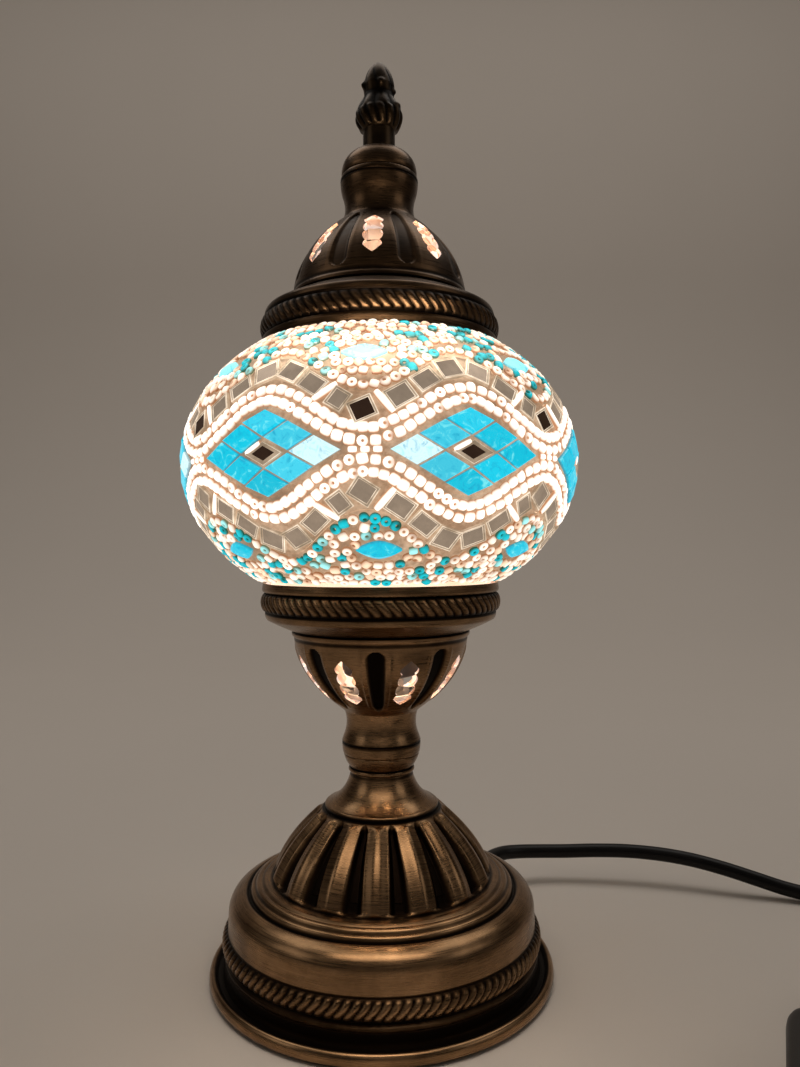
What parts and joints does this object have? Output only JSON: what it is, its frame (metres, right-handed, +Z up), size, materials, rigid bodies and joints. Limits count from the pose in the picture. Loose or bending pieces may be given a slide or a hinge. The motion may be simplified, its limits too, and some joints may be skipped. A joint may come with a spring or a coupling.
{
  "type": "table lamp",
  "caption": "Table lamp with a flattened mosaic glass globe between pierced bronze galleries on a turned, fluted foot, with a mains cord and in-line switch.",
  "frame": {"origin": "centre of the lamp's foot on the surface it stands on", "axes": "+Z up along the lamp's axis, -Y towards the front, +X to the right, where the cord lies"},
  "size_m": [0.2998, 0.2512, 0.325],
  "materials": {
    "antique_bronze": "brushed antique bronze, dark in the hollows",
    "cast_bronze": "dark cast antique bronze",
    "zinc_steel": "zinc plated",
    "brass": "bright",
    "iron": "as cast",
    "felt": "matte felt",
    "board": "matte",
    "black_plastic": "satin moulded",
    "cord_sheath": "satin PVC sheath",
    "white_ceramic": "unglazed",
    "opal_glass": "opal, lit from inside",
    "globe_glass": "clear blown glass",
    "seed_bead": "glossy seed beads in white grout",
    "mirror_tile": "small cut mirror and clear glass tiles",
    "turquoise_glass": "turquoise cut glass tiles"
  },
  "bodies": {
    "stand": {"base_cover": "antique_bronze", "felt_pad": "felt", "bottom_disc": "board", "base_weight": "iron", "cord_relief": "black_plastic", "stem_tube": "zinc_steel", "stem_nut_lower": "zinc_steel", "stem_washer_lower": "zinc_steel", "stem_nut_upper": "zinc_steel", "neck_bowl": "antique_bronze", "lower_gallery": "antique_bronze", "lampholder_shell": "black_plastic", "lampholder_insert": "brass", "lampholder_contact": "brass", "lampholder_core": "white_ceramic", "harp": "zinc_steel", "top_rod": "zinc_steel", "rod_nut": "zinc_steel", "inner_lead": "cord_sheath", "lamp_cord": "cord_sheath", "plug_cord": "cord_sheath", "plug_cord_tail": "cord_sheath", "cord_coil": "cord_sheath", "cord_tie": "cord_sheath", "switch_lower_shell": "black_plastic", "switch_upper_shell": "black_plastic", "switch_screw_1": "zinc_steel", "switch_screw_2": "zinc_steel", "switch_relief_lamp": "cord_sheath", "switch_relief_plug": "cord_sheath", "switch_contacts": "brass", "plug_body": "black_plastic", "plug_relief": "black_plastic", "plug_pin_left": "brass", "plug_pin_right": "brass"},
    "bulb": {"bulb_cap": "zinc_steel", "bulb_envelope": "opal_glass"},
    "globe": {"globe_glass": "globe_glass", "upper_bead_wave": "seed_bead", "upper_mirror_band": "mirror_tile", "upper_bead_field": "seed_bead", "lower_bead_wave": "seed_bead", "lower_mirror_band": "mirror_tile", "lower_bead_field": "seed_bead", "medallion_1": "turquoise_glass", "medallion_2": "turquoise_glass", "medallion_3": "turquoise_glass", "medallion_4": "turquoise_glass", "medallion_5": "turquoise_glass", "medallion_6": "turquoise_glass", "medallion_7": "turquoise_glass"},
    "cap": {"upper_gallery": "antique_bronze", "upper_collar": "antique_bronze"},
    "finial": {"finial": "cast_bronze"},
    "rocker": {"switch_rocker": "black_plastic"}
  },
  "joints": [
    {"name": "bulb_turn", "type": "hinge", "parent": "stand", "child": "bulb", "pos_m": [0, 0, 0.15], "axis": [0, 0, 1], "range_deg": [0, 1080]},
    {"name": "globe_lift", "type": "slide", "parent": "stand", "child": "globe", "axis": [0, 0, 1], "range_m": [0, 0.185]},
    {"name": "cap_lift", "type": "slide", "parent": "globe", "child": "cap", "axis": [0, 0, 1], "range_m": [0, 0.09]},
    {"name": "finial_turn", "type": "hinge", "parent": "cap", "child": "finial", "pos_m": [0, 0, 0.3], "axis": [0, 0, 1], "range_deg": [0, 2880]},
    {"name": "switch_rock", "type": "hinge", "parent": "stand", "child": "rocker", "pos_m": [0.119, -0.088, 0.0126], "axis": [0.9063, -0.4226, 0], "range_deg": [-18, 0]}
  ]
}
